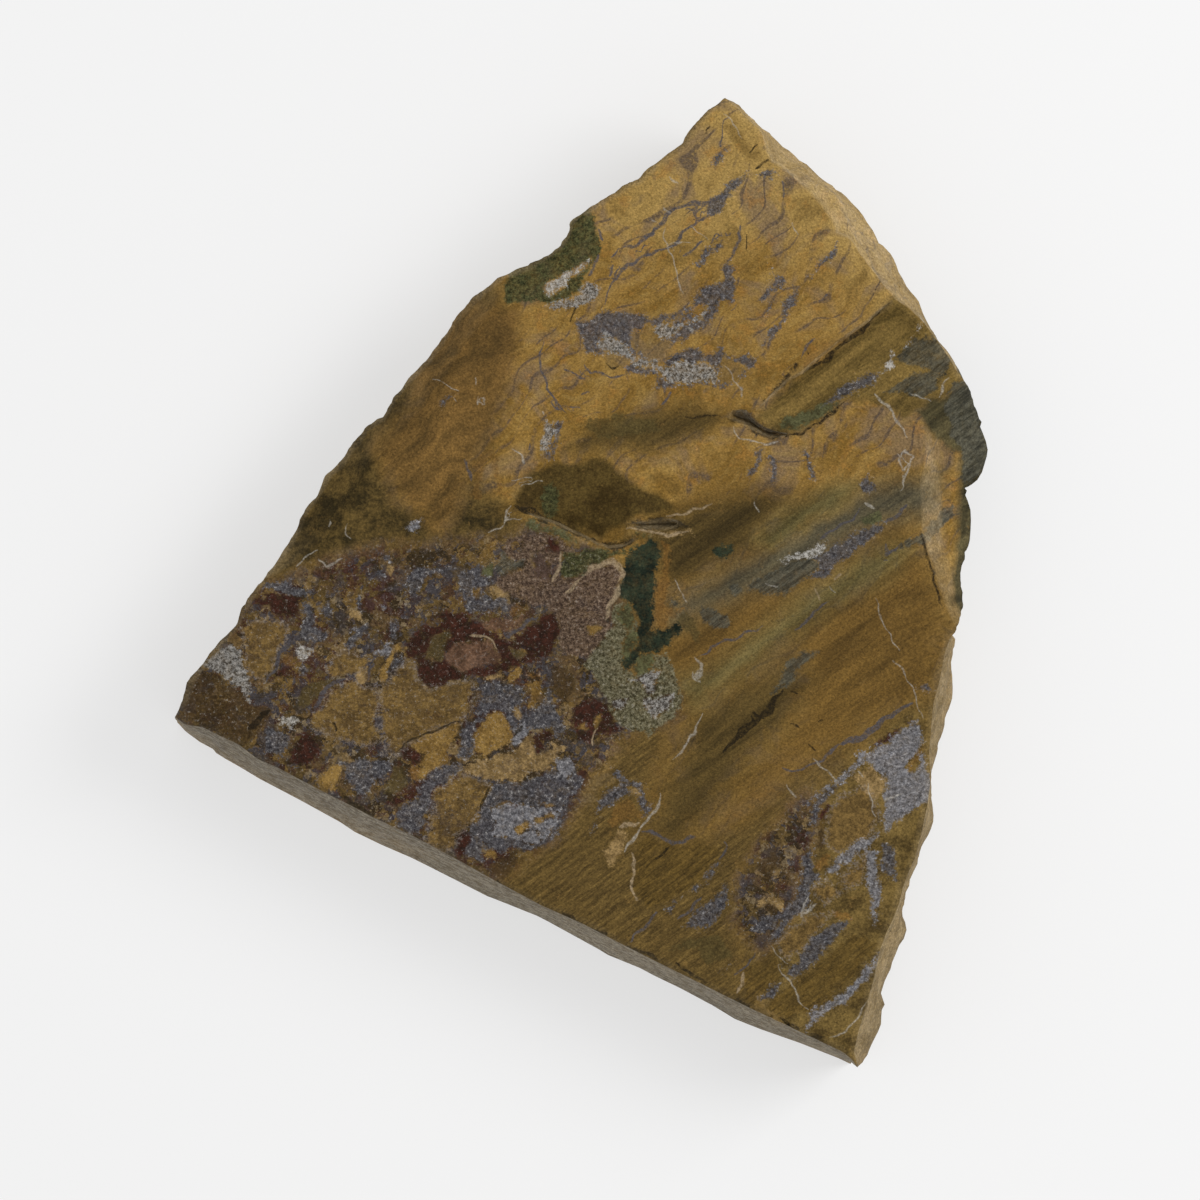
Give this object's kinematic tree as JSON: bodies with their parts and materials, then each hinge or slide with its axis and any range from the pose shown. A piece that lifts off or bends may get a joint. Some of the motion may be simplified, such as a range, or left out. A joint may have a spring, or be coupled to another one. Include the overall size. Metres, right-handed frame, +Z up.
{
  "type": "pietersite slab",
  "caption": "Thick slab of brecciated quartz rock with a flat underside, a long sawn side, a broad upper face with broken ledges and hollows, and fractured sides elsewhere.",
  "frame": {"origin": "middle of the slab's box, on the flat underside", "axes": "+Z up out of the upper face, +Y towards the pointed top corner as the slab is seen from above, +X to the right, with the long sawn side towards -Y"},
  "size_m": [0.0828, 0.0982, 0.0151],
  "materials": {
    "slab": "cut and softly polished stone, ochre with slate, oxblood and white veins"
  },
  "bodies": {
    "root": {"slab": "slab"}
  },
  "joints": []
}
